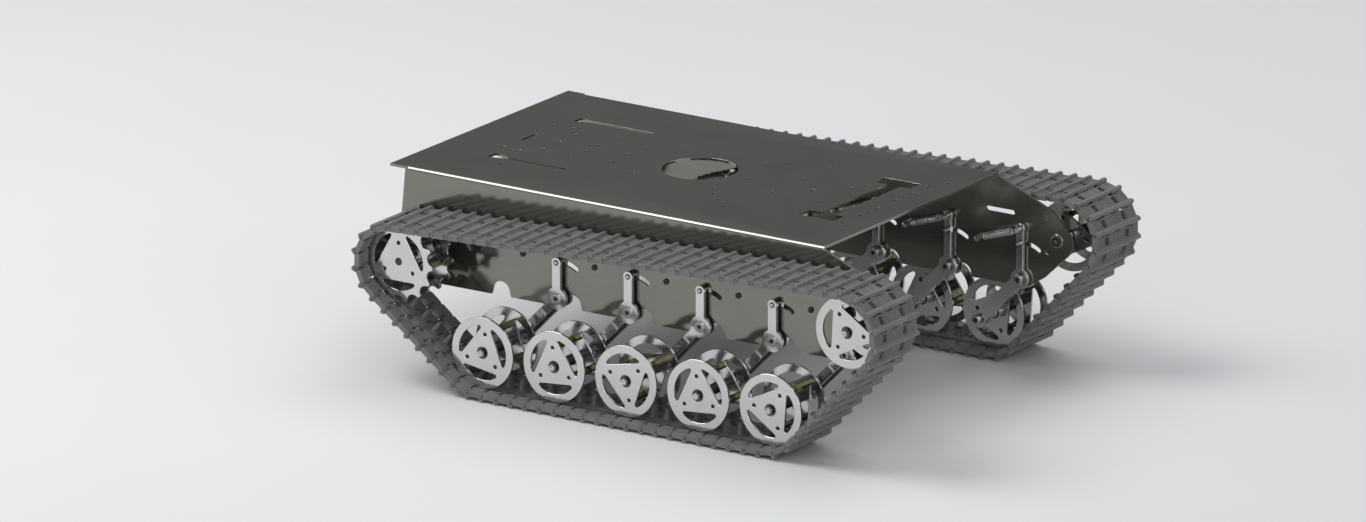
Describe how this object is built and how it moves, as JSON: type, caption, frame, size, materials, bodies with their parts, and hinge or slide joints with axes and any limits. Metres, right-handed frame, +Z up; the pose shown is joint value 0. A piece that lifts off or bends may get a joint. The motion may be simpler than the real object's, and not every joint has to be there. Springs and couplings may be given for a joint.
{
  "type": "tracked robot chassis",
  "caption": "Tracked robot chassis: folded sheet deck over two link tracks, each with a drive sprocket, an idler and road wheels on sprung swing arms.",
  "frame": {"origin": "on the ground, midway between the vehicle's two ends and midway between its two tracks", "axes": "+X forward, from the drive sprockets to the idlers; +Y to the vehicle's left; +Z up"},
  "size_m": [0.4999, 0.3758, 0.1577],
  "materials": {
    "hull_sheet": "dark satin sheet, bright along the folds",
    "track_plastic": "moulded, slightly worn",
    "steel": "machined",
    "dark_steel": "blackened screws",
    "spring_steel": "drawn wire",
    "motor_case": "satin",
    "disc_alloy": "fine blasted, cut edges brighter",
    "crank_alloy": "satin",
    "brass": "turned"
  },
  "bodies": {
    "chassis": {"chassis_shell": "hull_sheet", "right_track": "track_plastic", "left_track": "track_plastic", "track_pins": "steel", "right_gear_motor": "motor_case", "left_gear_motor": "motor_case", "pivot_bolts": "dark_steel", "idler_axles": "steel", "wall_screws": "dark_steel", "right_springs": "spring_steel", "left_springs": "spring_steel"},
    "right_sprocket": {"right_sprocket": "disc_alloy", "right_sprocket_hub": "steel"},
    "right_idler": {"right_idler": "disc_alloy", "right_idler_hub": "brass"},
    "right_arm_1": {"right_arm_1": "crank_alloy", "right_axle_1": "steel"},
    "right_wheel_1": {"right_wheel_1": "disc_alloy", "right_hub_1": "brass"},
    "right_arm_2": {"right_arm_2": "crank_alloy", "right_axle_2": "steel"},
    "right_wheel_2": {"right_wheel_2": "disc_alloy", "right_hub_2": "brass"},
    "right_arm_3": {"right_arm_3": "crank_alloy", "right_axle_3": "steel"},
    "right_wheel_3": {"right_wheel_3": "disc_alloy", "right_hub_3": "brass"},
    "right_arm_4": {"right_arm_4": "crank_alloy", "right_axle_4": "steel"},
    "right_wheel_4": {"right_wheel_4": "disc_alloy", "right_hub_4": "brass"},
    "right_arm_5": {"right_arm_5": "crank_alloy", "right_axle_5": "steel"},
    "right_wheel_5": {"right_wheel_5": "disc_alloy", "right_hub_5": "brass"},
    "left_sprocket": {"left_sprocket": "disc_alloy", "left_sprocket_hub": "steel"},
    "left_idler": {"left_idler": "disc_alloy", "left_idler_hub": "brass"},
    "left_arm_1": {"left_arm_1": "crank_alloy", "left_axle_1": "steel"},
    "left_wheel_1": {"left_wheel_1": "disc_alloy", "left_hub_1": "brass"},
    "left_arm_2": {"left_arm_2": "crank_alloy", "left_axle_2": "steel"},
    "left_wheel_2": {"left_wheel_2": "disc_alloy", "left_hub_2": "brass"},
    "left_arm_3": {"left_arm_3": "crank_alloy", "left_axle_3": "steel"},
    "left_wheel_3": {"left_wheel_3": "disc_alloy", "left_hub_3": "brass"},
    "left_arm_4": {"left_arm_4": "crank_alloy", "left_axle_4": "steel"},
    "left_wheel_4": {"left_wheel_4": "disc_alloy", "left_hub_4": "brass"},
    "left_arm_5": {"left_arm_5": "crank_alloy", "left_axle_5": "steel"},
    "left_wheel_5": {"left_wheel_5": "disc_alloy", "left_hub_5": "brass"}
  },
  "joints": [
    {"name": "right_sprocket_spin", "type": "hinge", "parent": "chassis", "child": "right_sprocket", "pos_m": [-0.2085, -0.1574, 0.0962], "axis": [0, 1, 0], "continuous": true},
    {"name": "right_idler_spin", "type": "hinge", "parent": "chassis", "child": "right_idler", "pos_m": [0.214, -0.1574, 0.1107], "axis": [0, 1, 0], "continuous": true},
    {"name": "right_arm_1_swing", "type": "hinge", "parent": "chassis", "child": "right_arm_1", "pos_m": [-0.0888, -0.1226, 0.07534], "axis": [0, 1, 0], "range_deg": [0, 31], "stiffness_Nm_per_rad": 0.6, "springref_deg": -20.05, "deforming": ["right_springs"]},
    {"name": "right_wheel_1_spin", "type": "hinge", "parent": "right_arm_1", "child": "right_wheel_1", "pos_m": [-0.1272, -0.1574, 0.03624], "axis": [0, 1, 0], "continuous": true},
    {"name": "right_arm_2_swing", "type": "hinge", "parent": "chassis", "child": "right_arm_2", "pos_m": [-0.0212, -0.1226, 0.07534], "axis": [0, 1, 0], "range_deg": [0, 31], "stiffness_Nm_per_rad": 0.6, "springref_deg": -20.05, "deforming": ["right_springs"]},
    {"name": "right_wheel_2_spin", "type": "hinge", "parent": "right_arm_2", "child": "right_wheel_2", "pos_m": [-0.0596, -0.1574, 0.03624], "axis": [0, 1, 0], "continuous": true},
    {"name": "right_arm_3_swing", "type": "hinge", "parent": "chassis", "child": "right_arm_3", "pos_m": [0.0464, -0.1226, 0.07534], "axis": [0, 1, 0], "range_deg": [0, 31], "stiffness_Nm_per_rad": 0.6, "springref_deg": -20.05, "deforming": ["right_springs"]},
    {"name": "right_wheel_3_spin", "type": "hinge", "parent": "right_arm_3", "child": "right_wheel_3", "pos_m": [0.008, -0.1574, 0.03624], "axis": [0, 1, 0], "continuous": true},
    {"name": "right_arm_4_swing", "type": "hinge", "parent": "chassis", "child": "right_arm_4", "pos_m": [0.114, -0.1226, 0.07534], "axis": [0, 1, 0], "range_deg": [0, 31], "stiffness_Nm_per_rad": 0.6, "springref_deg": -20.05, "deforming": ["right_springs"]},
    {"name": "right_wheel_4_spin", "type": "hinge", "parent": "right_arm_4", "child": "right_wheel_4", "pos_m": [0.0756, -0.1574, 0.03624], "axis": [0, 1, 0], "continuous": true},
    {"name": "right_arm_5_swing", "type": "hinge", "parent": "chassis", "child": "right_arm_5", "pos_m": [0.1816, -0.1226, 0.07534], "axis": [0, 1, 0], "range_deg": [0, 31], "stiffness_Nm_per_rad": 0.6, "springref_deg": -20.05, "deforming": ["right_springs"]},
    {"name": "right_wheel_5_spin", "type": "hinge", "parent": "right_arm_5", "child": "right_wheel_5", "pos_m": [0.1432, -0.1574, 0.03624], "axis": [0, 1, 0], "continuous": true},
    {"name": "left_sprocket_spin", "type": "hinge", "parent": "chassis", "child": "left_sprocket", "pos_m": [-0.2085, 0.1574, 0.0962], "axis": [0, 1, 0], "continuous": true},
    {"name": "left_idler_spin", "type": "hinge", "parent": "chassis", "child": "left_idler", "pos_m": [0.214, 0.1574, 0.1107], "axis": [0, 1, 0], "continuous": true},
    {"name": "left_arm_1_swing", "type": "hinge", "parent": "chassis", "child": "left_arm_1", "pos_m": [-0.0888, 0.1226, 0.07534], "axis": [0, 1, 0], "range_deg": [0, 31], "stiffness_Nm_per_rad": 0.6, "springref_deg": -20.05, "deforming": ["left_springs"]},
    {"name": "left_wheel_1_spin", "type": "hinge", "parent": "left_arm_1", "child": "left_wheel_1", "pos_m": [-0.1272, 0.1574, 0.03624], "axis": [0, 1, 0], "continuous": true},
    {"name": "left_arm_2_swing", "type": "hinge", "parent": "chassis", "child": "left_arm_2", "pos_m": [-0.0212, 0.1226, 0.07534], "axis": [0, 1, 0], "range_deg": [0, 31], "stiffness_Nm_per_rad": 0.6, "springref_deg": -20.05, "deforming": ["left_springs"]},
    {"name": "left_wheel_2_spin", "type": "hinge", "parent": "left_arm_2", "child": "left_wheel_2", "pos_m": [-0.0596, 0.1574, 0.03624], "axis": [0, 1, 0], "continuous": true},
    {"name": "left_arm_3_swing", "type": "hinge", "parent": "chassis", "child": "left_arm_3", "pos_m": [0.0464, 0.1226, 0.07534], "axis": [0, 1, 0], "range_deg": [0, 31], "stiffness_Nm_per_rad": 0.6, "springref_deg": -20.05, "deforming": ["left_springs"]},
    {"name": "left_wheel_3_spin", "type": "hinge", "parent": "left_arm_3", "child": "left_wheel_3", "pos_m": [0.008, 0.1574, 0.03624], "axis": [0, 1, 0], "continuous": true},
    {"name": "left_arm_4_swing", "type": "hinge", "parent": "chassis", "child": "left_arm_4", "pos_m": [0.114, 0.1226, 0.07534], "axis": [0, 1, 0], "range_deg": [0, 31], "stiffness_Nm_per_rad": 0.6, "springref_deg": -20.05, "deforming": ["left_springs"]},
    {"name": "left_wheel_4_spin", "type": "hinge", "parent": "left_arm_4", "child": "left_wheel_4", "pos_m": [0.0756, 0.1574, 0.03624], "axis": [0, 1, 0], "continuous": true},
    {"name": "left_arm_5_swing", "type": "hinge", "parent": "chassis", "child": "left_arm_5", "pos_m": [0.1816, 0.1226, 0.07534], "axis": [0, 1, 0], "range_deg": [0, 31], "stiffness_Nm_per_rad": 0.6, "springref_deg": -20.05, "deforming": ["left_springs"]},
    {"name": "left_wheel_5_spin", "type": "hinge", "parent": "left_arm_5", "child": "left_wheel_5", "pos_m": [0.1432, 0.1574, 0.03624], "axis": [0, 1, 0], "continuous": true}
  ],
  "couplings": [
    {"joint": "right_idler_spin", "follows": "right_sprocket_spin", "ratio": 0.981},
    {"joint": "right_wheel_1_spin", "follows": "right_sprocket_spin", "ratio": 1.0613},
    {"joint": "right_wheel_2_spin", "follows": "right_sprocket_spin", "ratio": 1.0613},
    {"joint": "right_wheel_3_spin", "follows": "right_sprocket_spin", "ratio": 1.0613},
    {"joint": "right_wheel_4_spin", "follows": "right_sprocket_spin", "ratio": 1.0613},
    {"joint": "right_wheel_5_spin", "follows": "right_sprocket_spin", "ratio": 1.0613},
    {"joint": "left_idler_spin", "follows": "left_sprocket_spin", "ratio": 0.981},
    {"joint": "left_wheel_1_spin", "follows": "left_sprocket_spin", "ratio": 1.0613},
    {"joint": "left_wheel_2_spin", "follows": "left_sprocket_spin", "ratio": 1.0613},
    {"joint": "left_wheel_3_spin", "follows": "left_sprocket_spin", "ratio": 1.0613},
    {"joint": "left_wheel_4_spin", "follows": "left_sprocket_spin", "ratio": 1.0613},
    {"joint": "left_wheel_5_spin", "follows": "left_sprocket_spin", "ratio": 1.0613}
  ]
}
